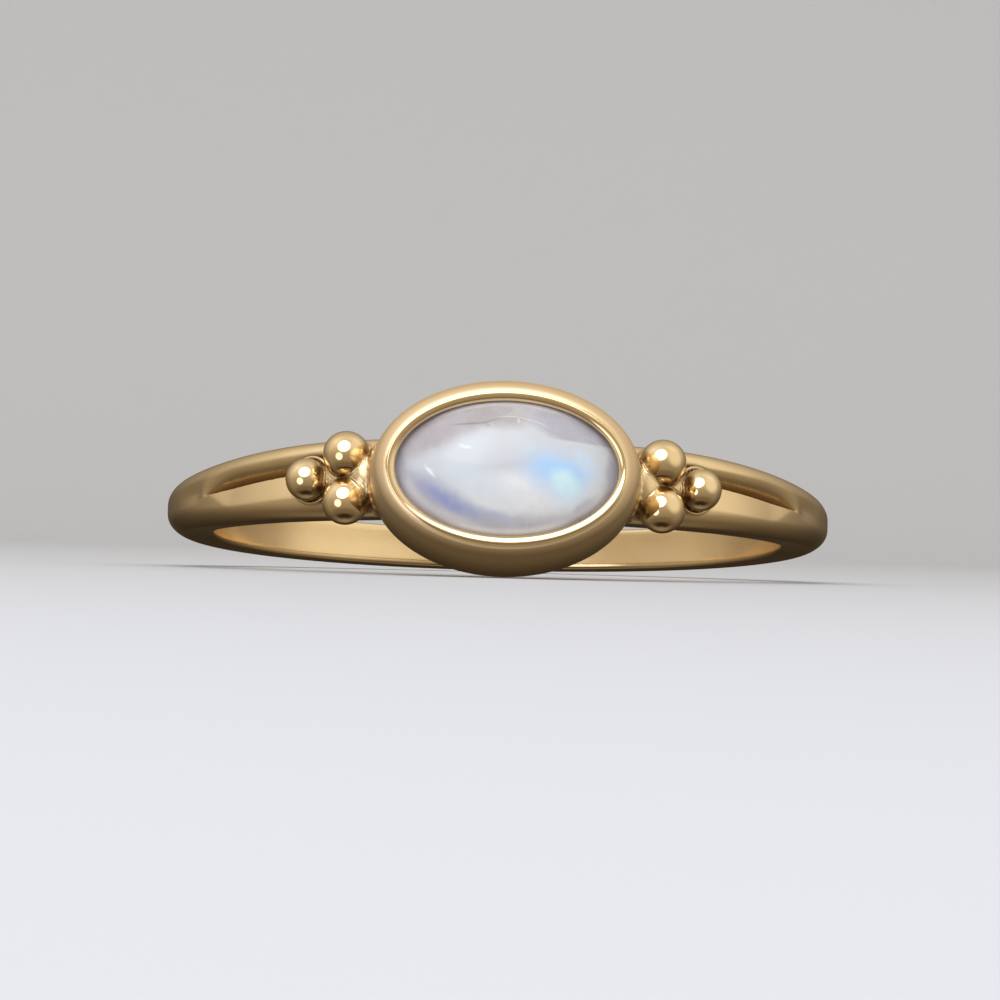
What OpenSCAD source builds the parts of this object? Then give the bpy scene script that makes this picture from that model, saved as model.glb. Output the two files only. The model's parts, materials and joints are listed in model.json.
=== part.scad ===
/* [Band] */
// Inside radius of the band, where the finger goes
bore_r = 9.0; // [7.5:0.1:11]
// Thickness of the band between the finger and its outer face
band_t = 1.5; // [1.3:0.05:2]
// Width of the band at the shoulders, beside the bezel
shoulder_w = 2.3; // [2.2:0.05:2.6]
// Width of the band at its two sides
side_w = 1.5; // [1.4:0.05:2]
// Width of the band at the back
back_w = 1.3; // [1.2:0.05:1.6]
// Radius of the crowned outer face, seen in the band's section
crown_r = 1.5; // [1.4:0.1:3]
// Length of the straight inside wall, between the two eased edges
land_l = 1.1; // [0.8:0.05:1.15]
// How far the eased inside edges fall back from the bore
ease_t = 0.18; // [0.05:0.01:0.3]

/* [Split shoulders] */
// Width of the groove that parts each shoulder into two ridges
groove_w = 0.5; // [0.4:0.02:0.6]
// Depth of the groove
groove_d = 0.4; // [0.3:0.05:0.6]
// Angle from the front at which the groove starts, under the granules
groove_from = 24; // [20:1:30]
// Angle from the front at which the groove ends, near the side
groove_to = 62; // [50:1:70]
// Height of the groove's middle over the middle of the band
groove_z = 0.34; // [0.2:0.02:0.4]

/* [Bezel] */
// Width of the bezel at its foot, round the finger
bezel_w = 8.1; // [7.8:0.02:9]
// Height of the bezel at its foot, along the finger
bezel_h = 5.7; // [5.2:0.02:6]
// Distance from the ring's centre to the bezel's foot
foot_y = 9.5; // [9.5:0.05:10]
// Depth of the bezel from its rim to its foot
bezel_d = 3.9; // [3.6:0.05:4.5]
// How far the wall leans in from the foot to the rim
lean = 0.18; // [0.1:0.02:0.3]
// Radius of the rounded outer edge of the rim
rim_round = 0.35; // [0.1:0.05:0.4]
// Width of the bezel's opening, where the stone shows
opening_w = 6.6; // [6:0.02:6.8]
// Height of the bezel's opening
opening_h = 4.0; // [3.8:0.02:4.2]
// Depth of the bright bevel that turns in to the stone
bevel_d = 0.1; // [0.05:0.01:0.15]
// Depth from the rim to the stone's girdle, which the lip holds down
lip_d = 0.5; // [0.45:0.01:0.6]

/* [Moonstone] */
// Width of the stone across its girdle
stone_w = 7.0; // [6.8:0.02:7.2]
// Height of the stone across its girdle
stone_h = 4.5; // [4.3:0.02:4.6]
// Height of the polished dome over the girdle
dome_h = 1.4; // [1:0.05:1.6]
// Thickness of the girdle
girdle_t = 0.25; // [0.15:0.05:0.35]
// Depth of the faceted pavilion under the girdle
pavilion_d = 1.35; // [1:0.05:1.6]
// Number of facets round the pavilion
facets = 12; // [8:2:16]
// Clear space between the stone and the metal
gap = 0.04; // [0.02:0.01:0.06]

/* [Granules] */
// Radius of the two granules against the bezel
inner_bead_r = 0.71; // [0.6:0.01:0.75]
// Radius of the granule that points outwards
outer_bead_r = 0.64; // [0.5:0.01:0.7]
// Angle from the front of the two inner granules
inner_bead_at = 26; // [25:0.2:27]
// Angle from the front of the outer granule
outer_bead_at = 33.2; // [32:0.2:34]
// How far the granules' centres stand over the band's outer face
bead_lift = 0.4; // [0.3:0.05:0.5]

/* [Hidden] */
$fn = 96;
stone_fn = 192;
eps = 0.01;
big = 40;

// Band
band_r = bore_r + band_t;
edge_round = 0.3;
edge_fall = 0.35;
taper_from_y = -0.94 * band_r;

// The groove's round bottom is a circle and its sides are straight
groove_r = groove_w / 2;
groove_floor_r = band_r - groove_d;
groove_bottom_r = groove_floor_r + groove_r;

// Bezel, as ellipses that share one ratio so that a scaled revolve draws them
bezel_ratio = bezel_h / bezel_w;
opening_ratio = opening_h / opening_w;
rim_y = foot_y + bezel_d;
foot_r = bezel_w / 2;
rim_r = foot_r - lean;
opening_r = opening_w / 2;
bevel_w = 0.24;
culet_r = 0.6;

// Stone, as if it were round: the ball of its dome and the slope of its facets
stone_r = stone_w / 2;
ball_r = (stone_r * stone_r + dome_h * dome_h) / (2 * dome_h);
ball_low = ball_r - dome_h;
facet_slope = atan(pavilion_d / (stone_r - culet_r));
facet_corner = stone_r * (1 - cos(180 / facets)) * tan(facet_slope);

// Seat, which is the stone's form and the clear space round it, and the well under it
seat_w = stone_w + 2 * gap;
seat_h = stone_h + 2 * gap;
seat_r = seat_w / 2;
ledge_w = 0.35;
girdle_y = rim_y - lip_d - gap;
ledge_d = girdle_t + facet_corner + gap;
well_floor_y = foot_y + 0.8;

// Granules
bead_y = band_r + bead_lift;

// On a level surface the ring lies on the foot of its bezel and the back of its band,
// so its plane leans back by the angle between those two lowest points
foot_low = bezel_h / 2;
back_low = back_w / 2;
back_edge_r = band_r - crown_r + sqrt(crown_r * crown_r - back_low * back_low);
lean_back = atan((foot_low - back_low) / (foot_y + back_edge_r));

// Lowest point and middle of the whole ring once it lies so
drop = back_edge_r * sin(lean_back) + back_low * cos(lean_back);
front_reach = (girdle_y + dome_h) * cos(lean_back);
back_reach = band_r * cos(lean_back);
middle_y = (back_reach - front_reach) / 2;

// Moves a shape from the ring's own plane to the way that the ring lies
module lay_down() {
    translate([0, -middle_y, drop])
        rotate([-lean_back, 0, 0])
            children();
}

// Stands a shape that is drawn upwards on the bezel's axis, at a distance from the centre
module on_bezel_axis(distance) {
    translate([0, -distance, 0])
        rotate([90, 0, 0])
            children();
}

// Turns a shape that is drawn at the front round the band, left or right
module round_the_band(angle) {
    rotate([0, 0, angle])
        children();
}

// Solid oval cylinder, drawn upwards
module oval(width, height, depth) {
    scale([1, height / width, 1])
        cylinder(h = depth, r = width / 2);
}

// Section of the band, with the radius along X and the width along Y
module band_section() {
    half = shoulder_w / 2;
    intersection() {
        translate([band_r - crown_r, 0])
            circle(r = crown_r);
        union() {
            translate([bore_r, -half + edge_round])
                square([band_t, shoulder_w - 2 * edge_round]);
            translate([bore_r, -half])
                square([band_t - edge_fall - edge_round, shoulder_w]);
            for (side = [-1, 1])
                translate([band_r - edge_fall - edge_round, side * (half - edge_round)])
                    circle(r = edge_round);
        }
    }
}

// Wedge that narrows the band from the shoulders to its sides and on to its back
module band_taper() {
    rotate([90, 0, 90])
        translate([0, 0, -big / 2])
            linear_extrude(height = big)
                polygon([
                    [-big / 2, -shoulder_w], [taper_from_y, -shoulder_w / 2 - eps],
                    [0, -side_w / 2], [band_r, -back_w / 2], [band_r + 1, -back_w / 2],
                    [band_r + 1, back_w / 2], [band_r, back_w / 2], [0, side_w / 2],
                    [taper_from_y, shoulder_w / 2 + eps], [-big / 2, shoulder_w]
                ]);
}

// Groove in the right shoulder, a round-bottomed slot with a round end
module groove() {
    start = -90 + groove_from;
    sweep = groove_to - groove_from;
    round_the_band(start)
        rotate_extrude(angle = sweep)
            union() {
                translate([groove_bottom_r, groove_z])
                    circle(r = groove_r);
                translate([groove_bottom_r, groove_z - groove_r])
                    square([band_t, groove_w]);
            }
    round_the_band(start + sweep)
        translate([groove_bottom_r, 0, groove_z])
            union() {
                sphere(r = groove_r);
                rotate([0, 90, 0])
                    cylinder(h = band_t, r = groove_r);
            }
}

// The two eased inside edges, so the band slides over a knuckle
module eased_edges() {
    run = shoulder_w / 2 - land_l / 2;
    for (turn = [0, 180])
        rotate([turn, 0, 0])
            translate([0, 0, land_l / 2])
                cylinder(h = 2 * run, r1 = bore_r, r2 = bore_r + 2 * ease_t);
}

module band() {
    difference() {
        intersection() {
            rotate_extrude()
                band_section();
            band_taper();
        }
        groove();
        mirror([1, 0, 0])
            groove();
    }
}

// Outer form of the bezel cup, drawn upwards from its foot
module cup_form() {
    scale([1, bezel_ratio, 1])
        rotate_extrude()
            union() {
                polygon([
                    [0, 0], [foot_r, 0],
                    [rim_r, bezel_d - rim_round], [0, bezel_d - rim_round]
                ]);
                square([rim_r - rim_round, bezel_d]);
                translate([rim_r - rim_round, bezel_d - rim_round])
                    circle(r = rim_round);
            }
}

// Seat as if it were round, drawn upwards from the girdle: it follows the dome under the lip
// and the facets down to the well, so that the stone is clear of the metal all round
module round_seat() {
    well_r = seat_r - ledge_w;
    well_d = girdle_y - well_floor_y;
    rotate_extrude()
        union() {
            intersection() {
                translate([0, -ball_low])
                    circle(r = ball_r + gap);
                square([seat_r, 2 * dome_h]);
            }
            polygon([
                [0, -well_d], [well_r, -well_d],
                [well_r, -ledge_d - ledge_w * tan(facet_slope)],
                [seat_r, -ledge_d], [seat_r, eps], [0, eps]
            ]);
        }
}

// Everything that is hollow in the cup: the opening, the bevel, the seat and the well
module cup_hollow() {
    on_bezel_axis(girdle_y)
        oval(opening_w, opening_h, big / 2);
    on_bezel_axis(rim_y - bevel_d)
        scale([1, opening_ratio, 1])
            cylinder(h = bevel_d + eps, r1 = opening_r, r2 = opening_r + bevel_w);
    on_bezel_axis(girdle_y)
        scale([1, seat_h / seat_w, 1])
            round_seat();
}

// One granule, part sunk in the solder on the band
module granule(radius, angle, height) {
    round_the_band(angle)
        translate([0, -bead_y, height])
            sphere(r = radius);
}

module granule_cluster(side) {
    for (level = [-1, 1])
        granule(inner_bead_r, side * inner_bead_at, level * inner_bead_r);
    granule(outer_bead_r, side * outer_bead_at, 0);
}

// Band, bezel cup and granules are soldered, so they are one piece of gold
module gold_ring() {
    color([0.83, 0.66, 0.38])
        lay_down()
            difference() {
                union() {
                    band();
                    on_bezel_axis(foot_y)
                        cup_form();
                    granule_cluster(-1);
                    granule_cluster(1);
                }
                cylinder(h = big, r = bore_r, center = true);
                eased_edges();
                cup_hollow();
            }
}

// Stone as if it were round: a smooth dome, a thin girdle and flat facets underneath
module round_stone() {
    difference() {
        rotate_extrude($fn = stone_fn)
            intersection() {
                translate([0, -ball_low])
                    circle(r = ball_r, $fn = stone_fn);
                translate([0, -girdle_t - pavilion_d])
                    square([stone_r, girdle_t + pavilion_d + dome_h]);
            }
        for (facet = [0 : facets - 1])
            rotate([0, 0, (facet + 0.5) * 360 / facets])
                translate([stone_r, 0, -girdle_t])
                    rotate([0, 90 - facet_slope, 0])
                        translate([0, -big / 2, -big / 2])
                            cube([big, big, big]);
    }
}

module moonstone() {
    color([0.84, 0.86, 0.9])
        lay_down()
            on_bezel_axis(girdle_y)
                scale([1, stone_h / stone_w, 1])
                    round_stone();
}

gold_ring();
moonstone();
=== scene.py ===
"""Looks of a gold ring with an oval moonstone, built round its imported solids.

Lengths are in millimetres in the ring's own plane (stone towards -y, finger along z) until
to_row() lays them the way that the ring rests, in metres.
"""
import itertools
import json
import math

import bpy
import numpy as np
from mathutils import Matrix, Vector


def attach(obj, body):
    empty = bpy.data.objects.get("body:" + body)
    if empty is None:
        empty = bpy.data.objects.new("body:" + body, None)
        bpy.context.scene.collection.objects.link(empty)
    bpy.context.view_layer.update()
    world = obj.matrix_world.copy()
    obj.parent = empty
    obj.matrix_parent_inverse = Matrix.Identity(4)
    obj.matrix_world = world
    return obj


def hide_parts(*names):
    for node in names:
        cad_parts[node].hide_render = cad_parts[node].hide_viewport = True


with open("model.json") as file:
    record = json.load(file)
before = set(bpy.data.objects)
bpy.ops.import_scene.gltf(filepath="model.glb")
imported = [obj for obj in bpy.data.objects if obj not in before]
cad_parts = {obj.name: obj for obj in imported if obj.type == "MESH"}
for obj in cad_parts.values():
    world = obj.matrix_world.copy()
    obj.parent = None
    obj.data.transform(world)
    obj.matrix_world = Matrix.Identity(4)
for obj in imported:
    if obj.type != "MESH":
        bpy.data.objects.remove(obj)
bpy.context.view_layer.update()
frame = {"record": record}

MM = 0.001

# Where the ring lies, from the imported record
bore = next(m for m in frame["record"]["mounts"] if m["name"] == "finger_bore")
CENTRE = np.array(bore["pos_m"]) / MM
LEAN = math.atan2(bore["axis"][1], bore["axis"][2])
BORE_R = bore["dims"]["r_mm"]

# Band
BAND_T = 1.494
BAND_R = BORE_R + BAND_T
SHOULDER_HALF = 1.19
SIDE_HALF = 0.73
BACK_HALF = 0.65
TAPER_FROM = math.radians(22)
SIDE = math.radians(95)
BACK_FROM = SIDE - 0.3
CROWN = 0.05
SHOULDER_CORNER = 0.43
SIDE_CORNER = 0.6
CORNER_SPARE = 0.02
SHOULDER_INNER = 0.45
SIDE_INNER = 0.22
SHOULDER_LIFT = 0.07
SIDE_DROP = 0.05
LIFT_TO = math.radians(30)
DROP_FROM = math.radians(72)
BORE_SOFT = 0.05

# Each shoulder is two ridges with a groove between them: a round upper one, whose flank sinks to
# the groove, and a lower one with a steep upper edge and a crest between two flatter faces. The
# heights are those at the middle of the shoulder, and the drifts are in mm per radian from there
RIDGES_AT = math.radians(46.8)
UPPER_CREST = 0.76
UPPER_DRIFT = 0.4
UPPER_R = 0.5
FLANK_TURN = math.radians(47)
GROOVE_EDGE = 0.09
EDGE_DRIFT = 0.72
EDGE_SOFT = 0.02
LOWER_CREST = -0.57
CREST_DRIFT = 0.25
CREST_CLEAR = 0.05
FACE_FALL = 0.25
UNDER_FALL = 0.20
CREST_SOFT = 0.06
# Where the groove ends, the upper ridge turns down round it and stands proud of a shallow trough
GROOVE_END = math.radians(61.5)
ARCH_LENGTH = math.radians(12)
TIP_FROM = math.radians(52)
TROUGH_D = 0.065
TROUGH_NEAR = 0.2
TROUGH_FAR = 0.8
TROUGH_FROM = math.radians(51)
TROUGH_TOP = 0.55
TROUGH_SOFT = 0.2
RIDGES_FROM = math.radians(62)
RIDGES_GONE = math.radians(84)
# The ridges fade out between these radii, so that they leave the bore round
SINK_FROM = BORE_R + 0.2
SINK_FULL = BORE_R + 0.95

# Bezel, whose sizes at each height are a half width across the face and a half height along the
# finger
FOOT_Y = 9.5
BEZEL_D = 3.9
RIM_Y = FOOT_Y + BEZEL_D
FOOT_A = 4.05
FOOT_B = 2.85
FOOT_ROUND = 0.06
FOOT_SATIN = 0.15
SATIN_RISE = 1.5
LEAN_A = 0.18
LEAN_B = 0.35
LEAN_CURVE = 3.5
RIM_A = 0.27
RIM_B = 0.19
RIM_H = 0.32
RIM_BEND = (0.05, 0.63)
OPEN_A = 3.3
OPEN_B = 2.01
LIP_W = 0.27
LIP_H = 0.025
LIP_OUTER = 0.2
LIP_SINK = 0.12
LIP_D = 0.5
LIP_UNDER = 0.37
SEAT_A = 3.54
SEAT_B = 2.29
WELL_A = 3.19
WELL_B = 2.064
WELL_FLOOR = 0.8
CORE_H = 1.6
SUNK = 0.006
# Rows in each part of the cup's profile, and how often it is repeated round the stone
FOOT_ROWS = 4
WALL_ROWS = 14
RIM_ROWS = 14
LIP_ROWS = 10
BEVEL_ROWS = 12
CUP_SPOKES = 288

# Granules
INNER_R = 0.71
OUTER_R = 0.64
INNER_AT = math.radians(26.0)
OUTER_AT = math.radians(33.2)
BEAD_LIFT = 0.4
SOLDER = 0.16
COLLAR_R = 0.065
COLLAR_OUT = 0.11
COLLAR_DOWN = 0.27
COLLAR_SOFT = 0.03
BEAD_SOFT = 0.05
# Beds of solder under and between the granules: angle, lift over the band and half sizes round the
# band, over it and across it
BEDS = ((math.radians(28.6), 0.02, 0.62, 0.46, 0.62), (math.radians(23.2), 0.3, 0.55, 0.42, 0.85))
BED_SOFT = 0.06
RIPPLE = 0.008
RIPPLE_PITCH = 0.085
RIPPLE_REACH = 0.26

# Distances at which the metal's surroundings are felt, for the shade in its recesses
RECESS_REACH = (0.12, 0.3, 0.55)
# Distances between which the body takes on the finish of the cup's wall and of the granules, and
# how far under the cup's foot the first still reaches
SATIN_FADE = (0.12, 0.02)
BRIGHT_FADE = (0.16, 0.05)
SATIN_UNDER = 0.1

# Lumpy strip of solder where the bezel's wall meets the granules
STRIP_H = 0.74
STRIP_R = 0.12
STRIP_LUMP = 0.012
STRIP_PITCH = 0.25
STRIP_HALF = 1.0
STRIP_SOFT = 0.1

# Grid for the skin of the band: angles from the front in degrees, radii and heights, each with the
# step that it has there
GRID_ANGLES = ((0, 1.4), (17, 1.0), (20, 0.25), (37.5, 0.24), (40, 0.5), (64, 0.6), (72, 1.6),
               (90, 2.5), (180, 3.0))
GRID_RADII = ((8.8, 0.1), (9.7, 0.1), (10.1, 0.045), (10.4, 0.042), (11.8, 0.042))
GRID_HEIGHTS = ((0, 0.04), (1.2, 0.044), (1.6, 0.1), (2.95, 0.14))
GRID_BLOCK = 24
# How often and how far a vertex is pulled on to the surface, and the steps that find its slope
NET_PULLS = 4
LONGEST_PULL = 0.05
LEAST_SLOPE = 0.05
PULL_STEP = 0.004
NORMAL_STEP = 0.01
TINY = 1e-9

# Stone
STONE_A = 3.5
STONE_B = 2.25
DOME_H = 1.4
GIRDLE_T = 0.25
PAVILION_D = 1.35
CULET_R = 0.6
FACETS = 12
GAP = 0.04
GIRDLE_Y = RIM_Y - LIP_D - GAP
GIRDLE_SHORT = 0.999
FACET_SLOPE = PAVILION_D / (STONE_A - CULET_R)
FACET_CORNER = STONE_A * (1 - math.cos(math.pi / FACETS)) * FACET_SLOPE
# Rings of the dome and spokes of the stone, and the rings under it
STONE_MESH = (56, 192)
UNDER_RINGS = 6
LAST_RING_R = 0.5


def turn_to_row(vectors):
    """Directions of the ring's own plane, turned as the ring rests."""
    c, s = math.cos(LEAN), math.sin(LEAN)
    x, y, z = vectors.T
    return np.stack([x, y * c + z * s, z * c - y * s], axis=1)


def to_row(points):
    """Points of the ring's own plane, in mm, laid as the ring rests, in metres."""
    return (turn_to_row(points) + CENTRE) * MM


# Distance functions, negative inside the metal

def smooth_min(a, b, k):
    h = np.clip(0.5 + 0.5 * (b - a) / k, 0.0, 1.0)
    return b + (a - b) * h - k * h * (1.0 - h)


def smooth_max(a, b, k):
    return -smooth_min(-a, -b, k)


def smooth_step(low, high, t):
    h = np.clip((t - low) / (high - low), 0.0, 1.0)
    return h * h * (3.0 - 2.0 * h)


def to_ellipse(x, z, a, b):
    """Distance to an upright ellipse in the plane of the stone's face."""
    f = np.sqrt((x / a) ** 2 + (z / b) ** 2) + TINY
    g = np.sqrt((x / a ** 2) ** 2 + (z / b ** 2) ** 2) + TINY
    return f * (f - 1.0) / g


def soft_ramp(t, soft):
    """Zero below 0 and t above it, with a rounded corner."""
    return 0.5 * (t + np.sqrt(t ** 2 + soft ** 2))


def ridge_fall(angle, z):
    """How far the outer face of the band sinks under its plain rounded form at the shoulders."""
    along = angle - RIDGES_AT
    edge = GROOVE_EDGE - EDGE_DRIFT * along
    upper = smooth_step(edge - EDGE_SOFT, edge + EDGE_SOFT, z)
    rise = UPPER_CREST - UPPER_DRIFT * along - edge
    bent = np.maximum(0.0, (angle - GROOVE_END) / ARCH_LENGTH + 1.0)
    down = np.maximum(0.0, edge - z + rise * np.sqrt(np.maximum(0.0, 1.0 - bent ** 2)))
    turned = np.minimum(down, UPPER_R * math.sin(FLANK_TURN))
    flank = UPPER_R - np.sqrt(UPPER_R ** 2 - turned ** 2) + (down - turned) * math.tan(FLANK_TURN)
    out = np.maximum(0.0, np.hypot(np.maximum(0.0, z - edge), bent * rise) - rise)
    trough = smooth_step(0.0, TROUGH_NEAR, out) * smooth_step(TROUGH_FAR, TROUGH_NEAR, out)
    trough = trough * smooth_step(TROUGH_FROM, GROOVE_END, angle) * smooth_step(TROUGH_TOP, 0.0, z)
    crest = LOWER_CREST - CREST_DRIFT * along
    crest = crest + (edge + CREST_CLEAR - crest) * smooth_step(TIP_FROM, GROOVE_END, angle)
    face = soft_ramp(z - crest, CREST_SOFT) * FACE_FALL
    face = face * smooth_step(RIDGES_GONE, GROOVE_END, angle)
    under = soft_ramp(LOWER_CREST - z, CREST_SOFT) * UNDER_FALL
    under = under * smooth_step(RIDGES_GONE, RIDGES_FROM, angle)
    trough = trough * TROUGH_D * smooth_step(edge - TROUGH_SOFT, edge + TROUGH_SOFT, z)
    return upper * flank + (1.0 - upper) * face + trough + under


def band_distance(r, angle, z):
    """The hoop with its shoulders, without what is soldered to it."""
    to_side = smooth_step(TAPER_FROM, SIDE, angle)
    half = SHOULDER_HALF + (SIDE_HALF - SHOULDER_HALF) * to_side
    half = half + (BACK_HALF - SIDE_HALF) * smooth_step(BACK_FROM, math.pi, angle)
    outer_corner = SHOULDER_CORNER + (SIDE_CORNER - SHOULDER_CORNER) * to_side
    outer_corner = np.minimum(outer_corner, half - CORNER_SPARE)
    inner_corner = SHOULDER_INNER + (SIDE_INNER - SHOULDER_INNER) * to_side
    to_drop = smooth_step(LIFT_TO, DROP_FROM, angle)
    z = z - SHOULDER_LIFT + (SHOULDER_LIFT + SIDE_DROP) * to_drop \
        - SIDE_DROP * smooth_step(SIDE, math.pi, angle)
    sunk = ridge_fall(angle, z) * smooth_step(SINK_FROM, SINK_FULL, r)
    across = r + sunk + CROWN * (z / half) ** 2 - (BORE_R + BAND_T / 2)
    corner = np.where(across > 0, outer_corner, inner_corner)
    qx = np.abs(across) - BAND_T / 2 + corner
    qz = np.abs(z) - half + corner
    outside = np.sqrt(np.maximum(qx, 0) ** 2 + np.maximum(qz, 0) ** 2)
    return np.minimum(np.maximum(qx, qz), 0) + outside - corner


def cup_half_sizes(h):
    """Half width and half height of the cup's outer wall at a height over its foot."""
    share = np.clip(h / BEZEL_D, 0.0, 1.0) ** LEAN_CURVE
    return FOOT_A - LEAN_A * share, FOOT_B - LEAN_B * share


def wall_distance(x, y, z):
    a, b = cup_half_sizes(-y - FOOT_Y)
    return to_ellipse(x, z, a, b)


def core_distance(x, y, z):
    """Lower part of the cup, which the solder meets; the cup's own surface lies just over it."""
    h = -y - FOOT_Y
    outside = np.maximum(wall_distance(x, y, z), np.maximum(-h, h - CORE_H))
    well = np.maximum(to_ellipse(x, z, WELL_A, WELL_B), WELL_FLOOR - h)
    return np.maximum(outside, -well)


def granule_places():
    """Centre and radius of each granule."""
    places = []
    reach = BAND_R + BEAD_LIFT
    for side in (-1, 1):
        for at, z, r in ((INNER_AT, -INNER_R, INNER_R), (INNER_AT, INNER_R, INNER_R),
                         (OUTER_AT, 0.0, OUTER_R)):
            places.append((side * reach * math.sin(at), -reach * math.cos(at), z, r))
    return places


GRANULES = granule_places()


def bead_distance(x, y, z):
    """Granules, the outer ones with the thin collar of solder that they sit in."""
    beads = None
    for bx, by, bz, br in GRANULES:
        away = np.sqrt((x - bx) ** 2 + (y - by) ** 2 + (z - bz) ** 2)
        bead = away - br
        if br == OUTER_R:
            over = ((x - bx) * bx + (y - by) * by) / math.hypot(bx, by)
            aside = np.sqrt(np.maximum(away ** 2 - over ** 2, 0.0))
            collar_at = math.sqrt(br ** 2 - COLLAR_DOWN ** 2) + COLLAR_OUT
            collar = np.sqrt((aside - collar_at) ** 2 + (over + COLLAR_DOWN) ** 2) - COLLAR_R
            bead = smooth_min(bead, collar, COLLAR_SOFT)
        beads = bead if beads is None else smooth_min(beads, bead, BEAD_SOFT)
    return beads


def bed_distance(r, angle, x, y, z):
    """Domes of solder between the granules, with fine ripples that run round each granule."""
    beds = None
    for at, lift, wide, deep, high in BEDS:
        f = np.sqrt(((angle - at) * BAND_R / wide) ** 2 + ((r - BAND_R - lift) / deep) ** 2
                    + (z / high) ** 2)
        bed = (f - 1.0) * deep
        beds = bed if beds is None else smooth_min(beds, bed, BED_SOFT)
    near = None
    for bx, by, bz, br in GRANULES:
        gap = np.sqrt((x - bx) ** 2 + (y - by) ** 2 + (z - bz) ** 2) - br
        near = gap if near is None else np.minimum(near, gap)
    ripple = RIPPLE * np.cos(2 * math.pi * near / RIPPLE_PITCH)
    return beds - ripple * smooth_step(RIPPLE_REACH, 0.0, near)


def strip_distance(x, y, z):
    """Lumpy wire of solder that runs round the cup's wall beside the granules."""
    h = -y - FOOT_Y
    lump = STRIP_R + STRIP_LUMP * np.cos(2 * math.pi * z / STRIP_PITCH)
    wire = np.sqrt(wall_distance(x, y, z) ** 2 + (h - STRIP_H) ** 2) - lump
    return smooth_max(wire, np.abs(z) - STRIP_HALF, STRIP_SOFT)


def solder_distance(points):
    """Everything that is soldered to the cup: band, granules and the strip between them."""
    x, y, z = points[..., 0], points[..., 1], points[..., 2]
    r = np.sqrt(x ** 2 + y ** 2)
    angle = np.abs(np.arctan2(x, -y))
    metal = smooth_min(band_distance(r, angle, z), bed_distance(r, angle, x, y, z), SOLDER)
    metal = smooth_min(metal, strip_distance(x, y, z), BED_SOFT)
    return smooth_min(metal, bead_distance(x, y, z), BED_SOFT)


def gold_distance(points, sunk=0.0):
    """All the gold, with the cup's lower part sunk a little where its own surface covers it."""
    x, y, z = points[..., 0], points[..., 1], points[..., 2]
    r = np.sqrt(x ** 2 + y ** 2)
    metal = smooth_min(solder_distance(points), core_distance(x, y, z) + sunk, SOLDER)
    return smooth_max(metal, BORE_R - r, BORE_SOFT)


def body_distance(points):
    return gold_distance(points, SUNK)


# Surface of the distance function, as a net of quads over a grid of angle, radius and height

def spread(stops):
    """Rising values from stops of (value, step there), with the step eased between stops."""
    coarser = 1.0
    stops = [(value, step * coarser) for value, step in stops]
    values = [stops[0][0]]
    while values[-1] < stops[-1][0] - TINY:
        here = values[-1]
        for (v0, s0), (v1, s1) in zip(stops, stops[1:]):
            if here < v1:
                share = (here - v0) / (v1 - v0)
                values.append(here + s0 + (s1 - s0) * share)
                break
    values = np.array(values)
    low, high = stops[0][0], stops[-1][0]
    return low + (values - values[0]) * (high - low) / (values[-1] - values[0])


def grid_points(angles, radii, heights):
    a = angles[:, None, None]
    r = radii[None, :, None]
    z = heights[None, None, :]
    shape = (len(angles), len(radii), len(heights))
    return np.stack([
        np.broadcast_to(np.sin(a) * r, shape),
        np.broadcast_to(-np.cos(a) * r, shape),
        np.broadcast_to(z, shape),
    ], axis=-1)


def sample_grid(distance, angles, radii, heights):
    """Distances at the grid's points, a block of angles at a time."""
    values = np.empty((len(angles), len(radii), len(heights)), dtype=np.float64)
    for start in range(0, len(angles), GRID_BLOCK):
        part = slice(start, start + GRID_BLOCK)
        values[part] = distance(grid_points(angles[part], radii, heights))
    return values


def gradient(distance, points, step):
    out = np.empty_like(points)
    for axis in range(3):
        shift = np.zeros(3)
        shift[axis] = step
        out[:, axis] = (distance(points + shift) - distance(points - shift)) / (2 * step)
    return out


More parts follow.
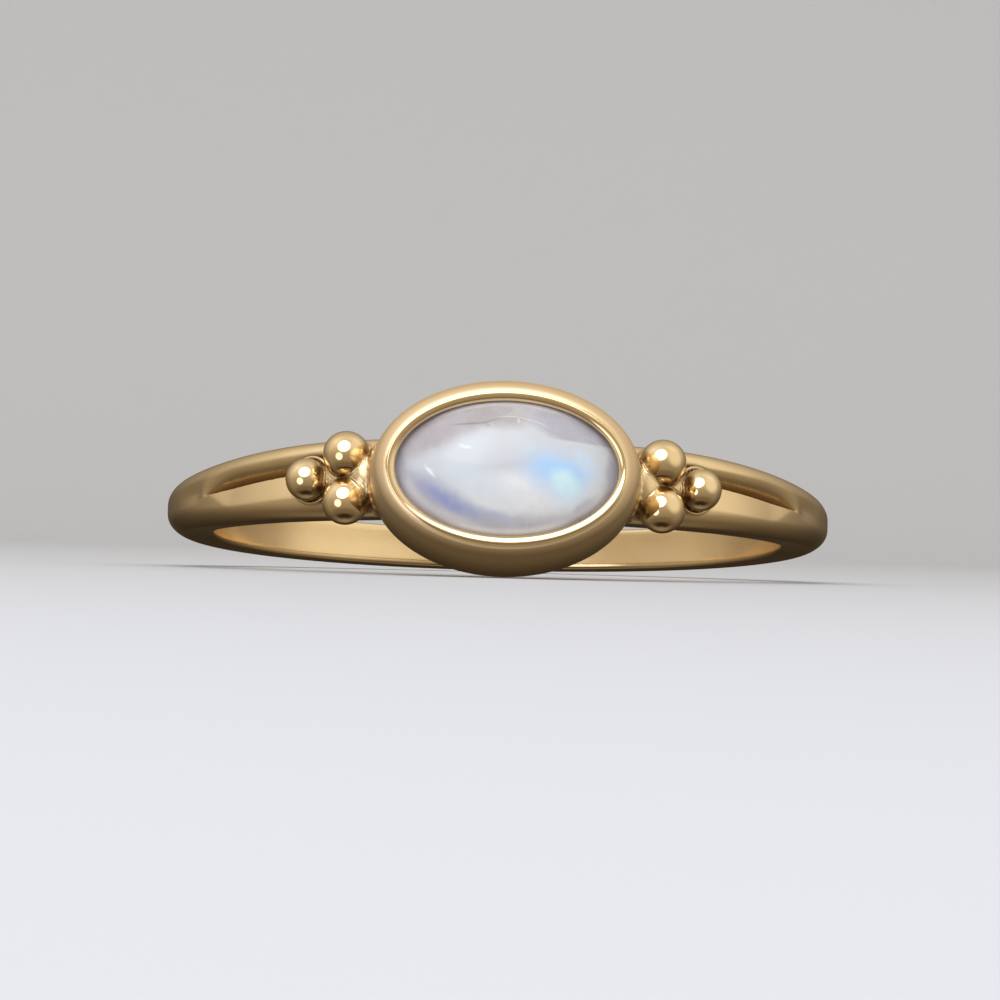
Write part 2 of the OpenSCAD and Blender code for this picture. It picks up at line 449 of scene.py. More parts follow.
def net_surface(distance, angles, radii, heights):
    """Vertices and quads of the surface where the distance is zero.

    Each cell of the grid that the surface cuts has one vertex, first in the middle of the places
    where the cell's edges are cut, and then pulled on to the surface.
    """
    values = sample_grid(distance, angles, radii, heights)
    inside = values < 0
    na, nr, nz = values.shape
    nxt = np.roll(np.arange(na), -1)
    corners = {}
    for i, j, k in itertools.product((0, 1), repeat=3):
        source = values[nxt] if i else values
        corners[i, j, k] = source[:, j:nr - 1 + j, k:nz - 1 + k]
    count = sum((c < 0).astype(np.int8) for c in corners.values())
    cut = (count > 0) & (count < len(corners))
    cell = np.argwhere(cut)
    index = -np.ones(cut.shape, dtype=np.int64)
    index[cut] = np.arange(len(cell))
    total = np.zeros((len(cell), 3))
    weight = np.zeros(len(cell))
    picked = {key: c[cut] for key, c in corners.items()}
    for p, q in itertools.combinations(picked, 2):
        if sum(abs(u - v) for u, v in zip(p, q)) != 1:
            continue
        a, b = picked[p], picked[q]
        crossing = (a < 0) != (b < 0)
        t = np.where(crossing, a / np.where(crossing, a - b, 1.0), 0.0)
        for axis in range(3):
            total[:, axis] += np.where(crossing, p[axis] + (q[axis] - p[axis]) * t, 0.0)
        weight += crossing
    local = total / weight[:, None]
    turn = np.append(angles, angles[0] + 2 * math.pi)
    ia, ir, iz = cell[:, 0], cell[:, 1], cell[:, 2]
    a = turn[ia] + (turn[ia + 1] - turn[ia]) * local[:, 0]
    r = radii[ir] + (radii[ir + 1] - radii[ir]) * local[:, 1]
    z = heights[iz] + (heights[iz + 1] - heights[iz]) * local[:, 2]
    points = np.stack([np.sin(a) * r, -np.cos(a) * r, z], axis=1)
    for _ in range(NET_PULLS):
        slope = gradient(distance, points, PULL_STEP)
        size = np.sum(slope ** 2, axis=1)
        move = slope * (distance(points) / np.maximum(size, LEAST_SLOPE))[:, None]
        length = np.linalg.norm(move, axis=1, keepdims=True)
        points -= move * np.minimum(1.0, LONGEST_PULL / np.maximum(length, TINY))

    quads = []

    def join(crossed, order):
        """One quad round each crossed edge of the grid, from the four cells that share it."""
        i, j, k = np.argwhere(crossed).T
        low_j, low_k = (min(step[axis] for step in order) for axis in (1, 2))
        held = (j + low_j >= 0) & (j < nr - 1) & (k + low_k >= 0) & (k < nz - 1)
        i, j, k = i[held], j[held], k[held]
        ring = np.stack([index[(i + a) % na, j + b, k + c] for a, b, c in order], axis=1)
        quads.append(np.where(inside[i, j, k][:, None], ring[:, ::-1], ring))

    join(inside != inside[nxt], ((0, -1, -1), (0, 0, -1), (0, 0, 0), (0, -1, 0)))
    join(inside[:, :-1] != inside[:, 1:], ((-1, 0, -1), (-1, 0, 0), (0, 0, 0), (0, 0, -1)))
    join(inside[:, :, :-1] != inside[:, :, 1:], ((-1, -1, 0), (0, -1, 0), (0, 0, 0), (-1, 0, 0)))
    return points, np.concatenate(quads)


def add_mesh(name, points, faces, normals=None):
    """A smooth piece from points of the ring's own plane."""
    mesh = bpy.data.meshes.new(name)
    mesh.from_pydata(to_row(points).tolist(), [], [list(map(int, f)) for f in faces])
    mesh.validate()
    mesh.polygons.foreach_set("use_smooth", [True] * len(mesh.polygons))
    if normals is not None and len(mesh.vertices) == len(points):
        mesh.normals_split_custom_set_from_vertices(turn_to_row(normals).tolist())
    mesh.update()
    piece = bpy.data.objects.new(name, mesh)
    bpy.context.scene.collection.objects.link(piece)
    return piece


def add_weight(piece, name, values):
    """A value at each vertex, which the material reads by this name."""
    layer = piece.data.attributes.new(name, "FLOAT", "POINT")
    layer.data.foreach_set("value", values.astype(np.float32))


def recess(points, normals):
    """1 where the metal round a point shuts it in, 0 where it stands free."""
    shut = 0.0
    for reach in RECESS_REACH:
        free = gold_distance(points + normals * reach) / reach
        shut = shut + np.clip(1.0 - free, 0.0, 1.0) / len(RECESS_REACH)
    return shut


def make_body():
    """Band, shoulders, granules and solder, as one skin."""
    angles = np.radians(spread(GRID_ANGLES))
    angles = np.concatenate([-angles[:0:-1], angles[:-1]])
    heights = spread(GRID_HEIGHTS)
    heights = np.concatenate([-heights[:0:-1], heights])
    points, quads = net_surface(body_distance, angles, spread(GRID_RADII), heights)
    slope = gradient(gold_distance, points, NORMAL_STEP)
    normals = slope / np.maximum(np.linalg.norm(slope, axis=1, keepdims=True), TINY)
    piece = add_mesh("gold_ring_body", points, quads, normals)
    add_weight(piece, "recess", recess(points, normals))
    x, y, z = points.T
    satin = FOOT_SATIN * smooth_step(*SATIN_FADE, np.abs(wall_distance(x, y, z)))
    bright = smooth_step(*BRIGHT_FADE, np.abs(bead_distance(x, y, z)))
    add_weight(piece, "satin", satin * (-y > FOOT_Y - SATIN_UNDER) * (1.0 - bright))
    add_weight(piece, "bright", bright)
    return piece


def cup_profile():
    """Rows of the cup from its foot, over the rim and the lip, down to the floor of its well.

    Each row is its half width, half height, height over the foot, satin share and bright share.
    """
    rows = []
    for k in range(FOOT_ROWS + 1):
        t = 0.5 * math.pi * k / FOOT_ROWS
        back = FOOT_ROUND * (1 - math.sin(t))
        rows.append((FOOT_A - back, FOOT_B - back, FOOT_ROUND * (1 - math.cos(t)), FOOT_SATIN, 0))
    shoulder = BEZEL_D - RIM_H
    for k in range(1, WALL_ROWS + 1):
        h = FOOT_ROUND + (shoulder - FOOT_ROUND) * k / WALL_ROWS
        satin = FOOT_SATIN + (1 - FOOT_SATIN) * (k / WALL_ROWS) ** SATIN_RISE
        rows.append((*map(float, cup_half_sizes(h)), h, satin, 0))
    top_a, top_b = rows[-1][:2]
    for k in range(1, RIM_ROWS + 1):
        t = k / RIM_ROWS
        back, up = (2 * t * (1 - t) * bend + t * t for bend in RIM_BEND)
        rows.append((top_a - RIM_A * back, top_b - RIM_B * back, shoulder + RIM_H * up, 1, 0))
    for k in range(1, LIP_ROWS + 1):
        t = 0.5 * math.pi * k / LIP_ROWS
        out = LIP_W * (1 - LIP_OUTER * k / LIP_ROWS)
        rows.append((OPEN_A + out, OPEN_B + out, BEZEL_D + LIP_H * math.sin(t), 0, 1))
    for k in range(1, BEVEL_ROWS + 1):
        t = 0.5 * math.pi * k / BEVEL_ROWS
        out = (1 - LIP_OUTER) * LIP_W * (1 - math.sin(t))
        rows.append((OPEN_A + out, OPEN_B + out,
                     BEZEL_D + LIP_H - (LIP_H + LIP_SINK) * (1 - math.cos(t)), 0, 1))
    girdle = GIRDLE_Y - FOOT_Y
    ledge = girdle - GIRDLE_T - FACET_CORNER - GAP
    well_top = ledge - (SEAT_A - WELL_A) * FACET_SLOPE
    for a, b, h in ((OPEN_A, OPEN_B, girdle + LIP_UNDER), (SEAT_A, SEAT_B, girdle + GAP),
                    (SEAT_A, SEAT_B, ledge), (WELL_A, WELL_B, well_top),
                    (WELL_A, WELL_B, WELL_FLOOR)):
        rows.append((a, b, h, 0, 0))
    return rows


def bands(first, count, spokes):
    """Quads between each of these rings of vertices and the next."""
    faces = []
    for a in range(first, first + count * spokes, spokes):
        faces += [(a + k, a + spokes + k, a + spokes + (k + 1) % spokes, a + (k + 1) % spokes)
                  for k in range(spokes)]
    return faces


def make_cup():
    """The oval bezel cup, its profile swept round the stone."""
    spokes = CUP_SPOKES
    rows = np.array(cup_profile())
    turn = 2 * math.pi * np.arange(spokes) / spokes
    grid = np.empty((len(rows), spokes, 3))
    grid[:, :, 0] = rows[:, 0:1] * np.cos(turn)
    grid[:, :, 1] = -(FOOT_Y + rows[:, 2:3])
    grid[:, :, 2] = rows[:, 1:2] * np.sin(turn)
    points = np.concatenate([grid.reshape(-1, 3), [[0, -FOOT_Y, 0], [0, -FOOT_Y - WELL_FLOOR, 0]]])
    faces = bands(0, len(rows) - 1, spokes)
    last = (len(rows) - 1) * spokes
    bottom, well = len(points) - 2, len(points) - 1
    faces += [(bottom, k, (k + 1) % spokes) for k in range(spokes)]
    faces += [(well, last + (k + 1) % spokes, last + k) for k in range(spokes)]
    piece = add_mesh("gold_bezel_cup", points, faces)
    for name, column in (("satin", 3), ("bright", 4)):
        values = np.repeat(rows[:, column], spokes)
        add_weight(piece, name, np.append(values, [0.0, 0.0]))
    return piece


# Stone

def make_stone():
    """The stone, drawn round and then pressed oval: dome, girdle, facets and a flat."""
    rings, spokes = STONE_MESH
    ball_r = (STONE_A ** 2 + DOME_H ** 2) / (2 * DOME_H)
    turn = 2 * math.pi * np.arange(spokes) / spokes
    points = [(0.0, 0.0, DOME_H)]
    for ring in range(1, rings + 1):
        rho = STONE_A * math.sin(0.5 * math.pi * ring / rings) if ring < rings else STONE_A
        h = math.sqrt(ball_r ** 2 - rho ** 2) - (ball_r - DOME_H)
        points += [(rho * math.cos(t), rho * math.sin(t), h) for t in turn]
    step = 2 * math.pi / FACETS

    def under(rho, t):
        """Depth at which the facet that faces this way cuts a line down at this radius."""
        nearest = (math.floor(t / step) + 0.5) * step
        return -GIRDLE_T - FACET_SLOPE * (STONE_A - rho * math.cos(t - nearest))

    points += [(STONE_A * math.cos(t), STONE_A * math.sin(t), under(STONE_A, t) * GIRDLE_SHORT)
               for t in turn]
    floor = -GIRDLE_T - PAVILION_D
    for ring in range(1, UNDER_RINGS + 1):
        rho = STONE_A + (LAST_RING_R - STONE_A) * ring / UNDER_RINGS
        points += [(rho * math.cos(t), rho * math.sin(t), max(floor, under(rho, t))) for t in turn]
    points.append((0.0, 0.0, floor))
    faces = [(0, 1 + k, 1 + (k + 1) % spokes) for k in range(spokes)]
    faces += bands(1, rings + UNDER_RINGS, spokes)
    last = len(points) - 1
    a = last - spokes
    faces += [(last, a + (k + 1) % spokes, a + k) for k in range(spokes)]
    x, y, z = np.array(points).T
    laid = np.stack([x, -(GIRDLE_Y + z), y * STONE_B / STONE_A], axis=1)
    piece = add_mesh("moonstone_cabochon", laid, faces)
    mesh = piece.data
    dome_faces = rings * spokes
    mesh.polygons.foreach_set("use_smooth", [k < dome_faces for k in range(len(mesh.polygons))])
    uv = mesh.uv_layers.new(name="face_mm")
    for loop in mesh.loops:
        uv.data[loop.index].uv = laid[loop.vertex_index, ::2]
    return piece


# Materials

class Nodes:
    """Short names for the shader nodes that the materials and the air use."""

    def __init__(self, tree):
        self.tree = tree

    def add(self, kind, **settings):
        node = self.tree.nodes.new(kind)
        for key, value in settings.items():
            setattr(node, key, value)
        return node

    def plug(self, source, target):
        self.tree.links.new(source, target)

    def put(self, value, socket):
        """Plugs an output into a socket, or sets the socket to a number or colour."""
        if isinstance(value, (int, float)):
            socket.default_value = value
        elif isinstance(value, tuple):
            socket.default_value = (*value, 1.0)
        else:
            self.plug(value, socket)

    def math(self, operation, *values, clamp=False):
        node = self.add("ShaderNodeMath", operation=operation, use_clamp=clamp)
        for value, socket in zip(values, node.inputs):
            self.put(value, socket)
        return node.outputs[0]

    def mix(self, share, a, b, label=""):
        node = self.add("ShaderNodeMix", data_type="RGBA", label=label)
        for value, socket in zip((share, a, b), (node.inputs[0], node.inputs[6], node.inputs[7])):
            self.put(value, socket)
        return node.outputs[2]

    def blend(self, mask, strength, colour, paint, label=""):
        """Paint laid over a colour where the mask shows, at this strength."""
        return self.mix(self.math("MULTIPLY", mask, strength), colour, paint, label)

    def step(self, value, low, high):
        node = self.add("ShaderNodeMapRange", interpolation_type="SMOOTHSTEP")
        self.plug(value, node.inputs["Value"])
        node.inputs["From Min"].default_value = low
        node.inputs["From Max"].default_value = high
        return node.outputs["Result"]

    def local(self, place, x, z, turn=0.0, wide=1.0, high=1.0):
        """Coordinates measured from a spot of the face, turned and scaled to its half sizes."""
        node = self.add("ShaderNodeMapping", vector_type="TEXTURE")
        self.plug(place, node.inputs["Vector"])
        node.inputs["Location"].default_value = (x, z, 0.0)
        node.inputs["Rotation"].default_value = (0.0, 0.0, math.radians(turn))
        node.inputs["Scale"].default_value = (wide, high, 1.0)
        return node.outputs["Vector"]

    def spot(self, place, x, z, wide, high, turn=0.0, soft=0.4):
        """1 inside an oval and 0 outside it, with an edge this soft."""
        length = self.add("ShaderNodeVectorMath", operation="LENGTH")
        self.plug(self.local(place, x, z, turn, wide, high), length.inputs[0])
        return self.step(length.outputs["Value"], 1.0 + soft, 1.0 - soft)

    def outline(self, place, x, z, wide, high, thick):
        """1 on the outline of an oval, fading off it over a share of its size."""
        length = self.add("ShaderNodeVectorMath", operation="LENGTH")
        self.plug(self.local(place, x, z, 0.0, wide, high), length.inputs[0])
        off = self.math("ABSOLUTE", self.math("SUBTRACT", length.outputs["Value"], 1.0))
        return self.step(off, thick, 0.0)

    def side(self, place, x, z, turn, soft=0.04):
        """1 on the upper side of a line through this place, turned up from level by an angle."""
        split = self.add("ShaderNodeSeparateXYZ")
        self.plug(self.local(place, x, z, turn), split.inputs[0])
        return self.step(split.outputs["Y"], -soft, soft)

    def noise(self, place, scale, detail, output="Fac"):
        node = self.add("ShaderNodeTexNoise")
        node.inputs["Scale"].default_value = scale
        node.inputs["Detail"].default_value = detail
        self.plug(place, node.inputs["Vector"])
        return node.outputs[output]

    def attribute(self, name):
        return self.add("ShaderNodeAttribute", attribute_name=name).outputs["Fac"]


def new_material(name):
    """A material with its nodes and the sockets of its shader."""
    material = bpy.data.materials.new(name)
    material.use_nodes = True
    tree = material.node_tree
    return material, Nodes(tree), tree.nodes["Principled BSDF"].inputs


# Gold: its two tints in soft clouds, the painted shade that darkens its recesses and what the satin
# finish turns it to, each with how much of it shows
GOLD_DEEP = (0.87, 0.653, 0.362)
GOLD_PALE = (0.90, 0.69, 0.395)
CLOUD_SCALE = 900.0
CLOUD_DETAIL = 4.0
CLOUD_EDGE = (0.3, 0.7)
RECESS_PAINTED_SHADE = (0.30, 0.196, 0.099)
RECESS_SHADE_EDGE = (0.1, 0.75)
RECESS_SHADE_SHARE = 0.8
SATIN_TINT = (0.72, 0.55, 0.33)
SATIN_SHARE = 0.9
# Roughness of plain polish, and what satin, bright polish, recesses and clouds add to it
GOLD_ROUGH = 0.17
SATIN_ROUGH = 0.48
BRIGHT_ROUGH = -0.11
RECESS_ROUGH = 0.22
RECESS_ROUGH_EDGE = (0.15, 0.6)
CLOUD_ROUGH = 0.03
# Fine grain of the metal, most of it polished away where it is bright
GRAIN_SCALE = 14000.0
GRAIN_DETAIL = 2.0
GRAIN_HEIGHT = 0.000004
GRAIN_STRENGTH = 0.35
GRAIN_POLISHED = 0.85


def gold_material():
    material, n, shader = new_material("yellow_gold")
    shader["Metallic"].default_value = 1.0
    place = n.add("ShaderNodeTexCoord").outputs["Object"]
    satin, bright, shut = (n.attribute(name) for name in ("satin", "bright", "recess"))
    cloud = n.noise(place, CLOUD_SCALE, CLOUD_DETAIL)
    tint = n.mix(n.step(cloud, *CLOUD_EDGE), GOLD_DEEP, GOLD_PALE)
    # Painted shade: the gold turns darker where the metal round it shuts it in
    tint = n.blend(n.step(shut, *RECESS_SHADE_EDGE), RECESS_SHADE_SHARE, tint, RECESS_PAINTED_SHADE)
    n.plug(n.blend(satin, SATIN_SHARE, tint, SATIN_TINT), shader["Base Color"])
    rough = GOLD_ROUGH
    for share, more in ((satin, SATIN_ROUGH), (bright, BRIGHT_ROUGH),
                        (n.step(shut, *RECESS_ROUGH_EDGE), RECESS_ROUGH), (cloud, CLOUD_ROUGH)):
        rough = n.math("MULTIPLY_ADD", share, more, rough)
    n.plug(rough, shader["Roughness"])
    bump = n.add("ShaderNodeBump")
    bump.inputs["Distance"].default_value = GRAIN_HEIGHT
    bump.inputs["Strength"].default_value = GRAIN_STRENGTH
    left = n.math("MULTIPLY_ADD", bright, -GRAIN_POLISHED, 1.0)
    grain = n.noise(place, GRAIN_SCALE, GRAIN_DETAIL)
    n.plug(n.math("MULTIPLY", grain, left), bump.inputs["Height"])
    n.plug(bump.outputs["Normal"], shader["Normal"])
    return material


# The stone's own colour, and how much paler its clouds are
STONE_BASE = (0.58, 0.57, 0.61)
STONE_CLOUDED = 1.12
# What shows in the stone, painted in order: name, place and half sizes in mm from the middle of
# its face, turn in degrees, softness of the edge, strength and colour
STONE_PATCHES = (
    ("milky_body", 0.30, -0.02, 2.95, 1.38, 2, 0.10, 0.85, (0.62, 0.645, 0.66)),
    # Painted light: the lower half of the dome is made paler to lift the shade that falls on it
    ("lower_body", 0.62, -0.85, 2.1, 0.62, 4, 0.5, 0.85, (0.93, 0.93, 0.93)),
    ("upper_left_mauve", -1.85, 1.2, 1.5, 0.62, 26, 0.4, 0.8, (0.43, 0.395, 0.41)),
    ("upper_middle", -0.2, 1.55, 0.9, 0.4, 0, 0.5, 0.8, (0.42, 0.385, 0.38)),
    # Painted reflection: a soft pale patch where the key light is mirrored on the dome
    ("left_glow", -1.2, 0.40, 0.75, 0.40, 14, 0.6, 0.5, (0.74, 0.78, 0.82)),
    ("left_lobe", -0.95, -0.42, 1.2, 0.5, -24, 0.6, 0.65, (0.71, 0.76, 0.80)),
    ("left_wedge", -2.55, -0.1, 0.34, 0.20, -42, 0.4, 0.8, (0.62, 0.68, 0.72)),
    ("violet_band", -1.95, -0.85, 1.25, 0.26, -31, 0.8, 0.6, (0.36, 0.37, 0.53)),
    ("violet_heart", -1.7, -1.06, 0.75, 0.14, -32, 0.9, 0.55, (0.26, 0.32, 0.68)),
    ("violet_tail", -0.6, -1.42, 0.75, 0.14, -10, 0.8, 0.5, (0.40, 0.47, 0.66)),
    ("flash_veil", 1.45, -0.2, 0.95, 0.6, -20, 0.7, 0.75, (0.50, 0.68, 0.92)),
    ("blue_flash", 1.6, -0.14, 0.68, 0.32, -8, 0.6, 0.9, (0.42, 0.68, 1.0)),
    ("cyan_flash", 1.70, -0.46, 0.44, 0.36, -30, 0.6, 1.0, (0.69, 0.90, 1.0)),
    ("flash_tail", 1.72, -0.95, 0.22, 0.28, 15, 0.8, 0.45, (0.78, 0.92, 1.0)),
    ("pale_cyan", 2.35, 0.16, 0.22, 0.42, 40, 0.7, 0.55, (0.58, 0.76, 0.96)),
    ("right_shade", 3.08, -0.25, 0.2, 0.75, -8, 0.6, 0.7, (0.38, 0.39, 0.47)),
    ("lower_right_shade", 2.4, -1.15, 0.65, 0.22, 35, 0.6, 0.6, (0.45, 0.44, 0.50)),
    ("lower_left_shade", -2.5, -0.95, 0.7, 0.16, -36, 0.7, 0.35, (0.42, 0.40, 0.48)),
    ("left_shade", -3.1, -0.15, 0.16, 0.7, 6, 0.6, 0.7, (0.38, 0.39, 0.48)),
    ("left_glint", -2.26, -0.19, 0.22, 0.055, -54, 0.6, 0.75, (0.95, 0.98, 1.0)),
    ("upper_glint", -1.24, 0.52, 0.20, 0.05, -10, 0.8, 0.6, (0.90, 0.95, 0.98)),
    ("crack", -1.15, 1.24, 0.42, 0.03, 4, 0.7, 0.6, (0.24, 0.20, 0.19)),
    ("crack_end", -0.55, 1.33, 0.3, 0.026, 16, 0.7, 0.5, (0.26, 0.22, 0.21)),
    ("crack_branch", -0.62, 1.22, 0.12, 0.02, -30, 0.7, 0.4, (0.24, 0.20, 0.18)),
    ("arc_spot", 0.31, 1.36, 0.04, 0.07, 10, 0.7, 0.6, (0.74, 0.76, 0.74)),
    ("fold", 0.62, -1.7, 0.03, 0.17, -16, 0.7, 0.45, (0.72, 0.72, 0.73)),
    ("fold_foot", 0.48, -1.76, 0.14, 0.03, 10, 0.7, 0.35, (0.68, 0.68, 0.70)),
)
# Thin bright lines: middle and half sizes of an oval with its thickness as a share of it, middle,
# half sizes and turn of the stretch that shows, strength and colour
STONE_LINES = (
    ("facet_arc", (-0.01, -1.0, 2.49, 2.49, 0.009), (0.5, 1.38, 0.72, 0.3, -12),
     0.75, (0.76, 0.76, 0.74)),
    # The next four are painted light along the stone's rim, which lift the shade that the lip and
    # the dome's slope leave there
    ("girdle_left", (0.0, -0.05, 3.02, 1.72, 0.09), (-2.0, -1.2, 1.5, 0.6, -32),
     0.6, (0.76, 0.77, 0.82)),
    ("girdle_right", (0.0, -0.05, 3.05, 1.75, 0.07), (2.1, -1.25, 1.2, 0.6, 35),
     0.45, (0.74, 0.76, 0.82)),
    ("girdle_below", (0.0, -0.03, 3.12, 1.88, 0.09), (0.1, -1.9, 2.2, 0.4, 0),
     0.85, (0.94, 0.94, 0.95)),
    ("girdle_above", (0.0, 0.06, 3.10, 1.86, 0.07), (-0.3, 1.9, 2.6, 0.5, 0),
     0.7, (0.80, 0.79, 0.79)),
    ("body_edge", (0.30, -0.02, 2.95, 1.38, 0.02), (2.7, 0.35, 0.5, 0.9, 0),
     0.35, (0.68, 0.69, 0.69)),
)
LINE_FADE = 0.5
# Mauve veil at the upper right: an oval as above, cut off straight below a line through a place
VEIL_OVAL = (1.95, 1.12, 1.35, 0.5, -22, 0.3)
VEIL_LINE = (0.81, 0.87, -4, 0.05)
VEIL_STRENGTH = 0.8
VEIL_COLOUR = (0.41, 0.395, 0.45)
# One facet seen through the stone, by its corners
FACET_TRIANGLE = ((-0.09, 1.5), (0.84, 1.46), (0.34, 1.87))
FACET_STRENGTH = 0.4
FACET_COLOUR = (0.56, 0.56, 0.55)
WISP_STRENGTH = 0.2
WISP_COLOUR = (0.66, 0.68, 0.70)
# Noise in the stone, as scale and detail, and the values between which it shows
STONE_CLOUDS = (1.1, 4.0)
STONE_CLOUD_EDGE = (0.35, 0.68)
WISPS = (3.2, 5.0)
WISP_EDGE = (0.42, 0.75)
# How far the patches sway from their ovals, in mm, but for those that are too thin for it
SWAY_NOISE = (1.6, 3.0)
SWAY = 0.30
TOO_THIN = 0.05
STONE_SHADER = {
    "Roughness": 0.04,
    "IOR": 1.52,
    "Specular IOR Level": 0.25,
    "Subsurface Weight": 0.55,
    "Subsurface Scale": 0.0012,
    "Subsurface Radius": (1.0, 1.0, 1.1),
}


def stone_material():
    material, n, shader = new_material("moonstone_milky")
    for name, value in STONE_SHADER.items():
        shader[name].default_value = value
    place = n.add("ShaderNodeUVMap", uv_map="face_mm").outputs["UV"]
    centred = n.add("ShaderNodeVectorMath", operation="MULTIPLY_ADD")
    n.plug(n.noise(place, *SWAY_NOISE, output="Color"), centred.inputs[0])
    centred.inputs[1].default_value = (SWAY, SWAY, 0.0)
    centred.inputs[2].default_value = (-SWAY / 2, -SWAY / 2, 0.0)
    swayed = n.add("ShaderNodeVectorMath", operation="ADD")
    n.plug(place, swayed.inputs[0])
    n.plug(centred.outputs[0], swayed.inputs[1])
    wavy = swayed.outputs[0]
    cloud = n.step(n.noise(place, *STONE_CLOUDS), *STONE_CLOUD_EDGE)
    colour = n.mix(cloud, STONE_BASE, tuple(STONE_CLOUDED * c for c in STONE_BASE))
    for name, x, z, wide, high, turn, soft, strength, paint in STONE_PATCHES:
        where = place if min(wide, high) < TOO_THIN else wavy
        mask = n.spot(where, x, z, wide, high, turn, soft)
        colour = n.blend(mask, strength, colour, paint, name)
    veil = n.math("MULTIPLY", n.spot(place, *VEIL_OVAL), n.side(place, *VEIL_LINE))
    colour = n.blend(veil, VEIL_STRENGTH, colour, VEIL_COLOUR, "upper_right_veil")
    for name, oval, stretch, strength, paint in STONE_LINES:
        mask = n.math("MULTIPLY", n.outline(place, *oval), n.spot(place, *stretch, LINE_FADE))
        colour = n.blend(mask, strength, colour, paint, name)
    inside = 1.0
    for (x, z), (to_x, to_z) in zip(FACET_TRIANGLE, FACET_TRIANGLE[1:] + FACET_TRIANGLE[:1]):
        turn = math.degrees(math.atan2(to_z - z, to_x - x))
        inside = n.math("MULTIPLY", n.side(place, x, z, turn), inside)
    colour = n.blend(inside, FACET_STRENGTH, colour, FACET_COLOUR, "facet")
    wisps = n.step(n.noise(wavy, *WISPS), *WISP_EDGE)
    n.plug(n.blend(wisps, WISP_STRENGTH, colour, WISP_COLOUR, "wisps"), shader["Base Color"])
    return material


# Scene, in metres

FLOOR_FRONT = -0.22
FLOOR_BACK = 0.28
FLOOR_HALF_WIDTH = 0.6
BACKDROP_H = 0.30
BACKDROP_BEND = 0.12
BEND_ROWS = 12
PAPER_COLOUR = (0.60, 0.61, 0.63)
PAPER_ROUGH = 0.85
PAPER_SHINE = 0.2


def floor_and_backdrop():
    """A pale floor that sweeps up into a backdrop."""
    bend_from = FLOOR_BACK - BACKDROP_BEND
    line = [(FLOOR_FRONT, 0.0), (bend_from, 0.0)]
    for k in range(1, BEND_ROWS + 1):
        a = 0.5 * math.pi * k / BEND_ROWS
        line.append((bend_from + BACKDROP_BEND * math.sin(a), BACKDROP_BEND * (1 - math.cos(a))))
    line.append((FLOOR_BACK, BACKDROP_H))
    points = [(side * FLOOR_HALF_WIDTH, y, z) for y, z in line for side in (-1, 1)]
    faces = [(2 * k, 2 * k + 1, 2 * k + 3, 2 * k + 2) for k in range(len(line) - 1)]
    mesh = bpy.data.meshes.new("studio_sweep")
    mesh.from_pydata(points, [], faces)
    mesh.polygons.foreach_set("use_smooth", [True] * len(mesh.polygons))
    sweep = bpy.data.objects.new("studio_sweep", mesh)
    bpy.context.scene.collection.objects.link(sweep)
    paper, _, shader = new_material("pale_paper")
    shader["Base Color"].default_value = (*PAPER_COLOUR, 1.0)
    shader["Roughness"].default_value = PAPER_ROUGH
    shader["Specular IOR Level"].default_value = PAPER_SHINE
    mesh.materials.append(paper)
    sweep.visible_glossy = False


def toward(azimuth, elevation):
    """Unit vector from the ring; azimuth is to the right of the camera's side."""
    a, e = math.radians(azimuth), math.radians(elevation)
    return Vector((math.sin(a) * math.cos(e), -math.cos(a) * math.cos(e), math.sin(e)))


# Key light: where it is seen from the ring, its distance and size, power in watts and colour
KEY_WAY = (-16, 41)
KEY_DISTANCE = 0.25
KEY_SIZE = 0.275
KEY_POWER = 0.36
KEY_COLOUR = (0.92, 0.97, 1.12)


def key_light():
    """A round area light that faces the ring."""
    lamp = bpy.data.lights.new("key", "AREA")
    lamp.shape = "ELLIPSE"
    lamp.size = lamp.size_y = KEY_SIZE
    lamp.energy = KEY_POWER
    lamp.color = KEY_COLOUR
    way = toward(*KEY_WAY)
    light = bpy.data.objects.new("key", lamp)
    light.location = Vector(CENTRE * MM) + way * KEY_DISTANCE
    light.rotation_euler = (-way).to_track_quat("-Z", "Y").to_euler()
    bpy.context.scene.collection.objects.link(light)


# Studio air: brightness at elevations in degrees, towards the camera's side, to the left and
# right, and behind the ring
AIR_FRONT = ((-90, 0.06), (-77, 0.03), (-66, 0.04), (-58, 0.17), (-40, 0.20), (-28, 0.32),
             (-10, 0.38), (0, 0.43), (20, 0.56), (45, 0.74), (90, 0.85))
AIR_SIDE = ((-90, 0.06), (-77, 0.04), (-66, 0.06), (-50, 0.17), (-35, 0.27), (-16, 0.36), (0, 0.46),
            (20, 0.76), (50, 1.15), (90, 0.85))
AIR_BACK = ((-90, 0.20), (-64, 0.32), (-52, 0.16), (-42, 0.05), (-12, 0.03), (0, 0.10), (30, 0.40),
            (60, 0.62), (90, 0.85))
# Bright cards in the air: azimuth and elevation of the middle, where the edge starts and ends, all
# in degrees, and colour
CARDS = ((62, 24, 8, 46, (0.95, 0.90, 0.80)), (-36, -9, 15, 20, (1.6, 1.6, 1.75)))
# Share and power of each colour in the air's brightness, which make it warmer where it is darker
AIR_TINT = ((1.0, 1.0), (0.965, 1.1), (0.90, 1.25))
# Keeps the level part of a direction above 0 where it points straight up
JUST_OVER_1 = 1.0001


def air_colour(level):
    return (*(share * level ** power for share, power in AIR_TINT), 1.0)


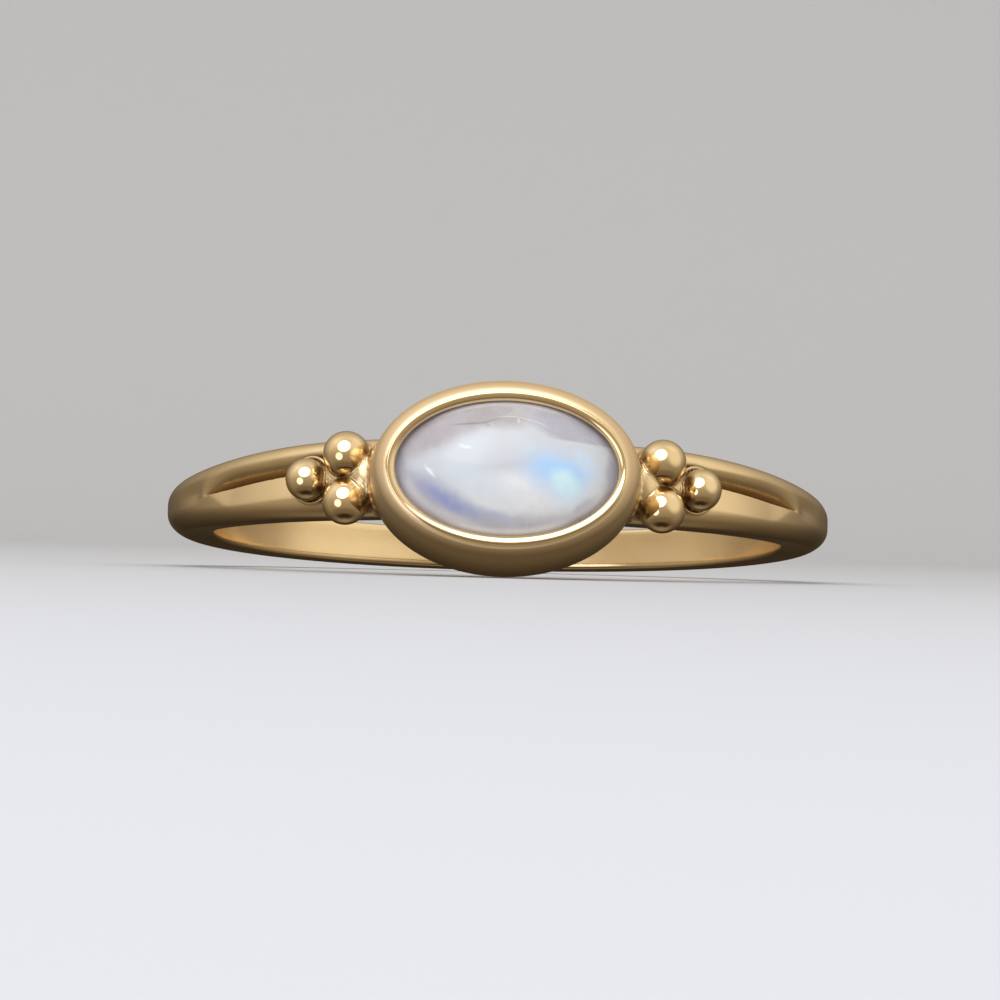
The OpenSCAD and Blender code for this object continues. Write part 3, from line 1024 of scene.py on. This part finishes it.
def studio_air():
    world = bpy.data.worlds.new("studio_air")
    bpy.context.scene.world = world
    world.use_nodes = True
    n = Nodes(world.node_tree)

    def ramp(share, stops):
        """The air's colour at a height, which is a share of the half turn from below to above."""
        node = n.add("ShaderNodeValToRGB")
        n.plug(share, node.inputs[0])
        marks = node.color_ramp.elements
        for elevation, _ in stops[1:-1]:
            marks.new(0.5 + elevation / 180)
        for mark, (_, level) in zip(marks, stops):
            mark.color = air_colour(level)
        return node.outputs[0]

    way = n.add("ShaderNodeSeparateXYZ")
    direction = n.add("ShaderNodeTexCoord").outputs["Generated"]
    n.plug(direction, way.inputs[0])
    _, y, z = way.outputs
    level_part = n.math("SQRT", n.math("SUBTRACT", JUST_OVER_1, n.math("MULTIPLY", z, z)))
    to_front = n.math("DIVIDE", n.math("MULTIPLY", y, -1.0), level_part, clamp=True)
    to_back = n.math("DIVIDE", y, level_part, clamp=True)
    height = n.math("MULTIPLY_ADD", n.math("ARCSINE", z), 1 / math.pi, 0.5)
    air = n.mix(to_front, ramp(height, AIR_SIDE), ramp(height, AIR_FRONT))
    air = n.mix(to_back, air, ramp(height, AIR_BACK))
    for azimuth, elevation, edge_from, edge_to, colour in CARDS:
        near = n.add("ShaderNodeVectorMath", operation="DOT_PRODUCT")
        n.plug(direction, near.inputs[0])
        near.inputs[1].default_value = toward(azimuth, elevation)
        edge = (math.cos(math.radians(e)) for e in (edge_to, edge_from))
        air = n.mix(n.step(near.outputs["Value"], *edge), air, colour)
    n.plug(air, n.tree.nodes["Background"].inputs["Color"])


# Camera, which looks at the ring from the photo's side: angles in degrees, lengths in mm, and the
# pixel of the photo where the bore's middle is
CAMERA_AZIMUTH = -1.0
CAMERA_ELEVATION = -0.3
CAMERA_ROLL = 1.55
CAMERA_DISTANCE = 180.0
SENSOR = 36.0
NEAREST = 0.001
PX_PER_MM = 31.4
PHOTO = 1000
RING_AT = (497.7, 518.5)


def camera():
    cam = bpy.data.cameras.new("camera")
    cam.sensor_width = SENSOR
    cam.lens = SENSOR * CAMERA_DISTANCE * PX_PER_MM / PHOTO
    cam.clip_start = NEAREST
    eye = bpy.data.objects.new("camera", cam)
    way = toward(CAMERA_AZIMUTH, CAMERA_ELEVATION)
    turn = (-way).to_track_quat("-Z", "Y").to_matrix()
    turn = turn @ Matrix.Rotation(math.radians(CAMERA_ROLL), 3, "Z")
    right, up = turn.col[0], turn.col[1]
    shift_x = (PHOTO / 2 - RING_AT[0]) / PX_PER_MM
    shift_y = (RING_AT[1] - PHOTO / 2) / PX_PER_MM
    target = Vector(CENTRE) + right * shift_x + up * shift_y
    spot = (target + way * CAMERA_DISTANCE) * MM
    eye.matrix_world = Matrix.Translation(spot) @ turn.to_4x4()
    bpy.context.scene.collection.objects.link(eye)
    bpy.context.scene.camera = eye


camera()
gold = gold_material()
for piece in (make_body(), make_cup()):
    piece.data.materials.append(gold)
    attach(piece, "root")
    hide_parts("gold_ring")

stone = make_stone()
stone.data.materials.append(stone_material())
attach(stone, "root")
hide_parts("moonstone")

floor_and_backdrop()
key_light()
studio_air()
bpy.context.scene.view_settings.view_transform = "Standard"
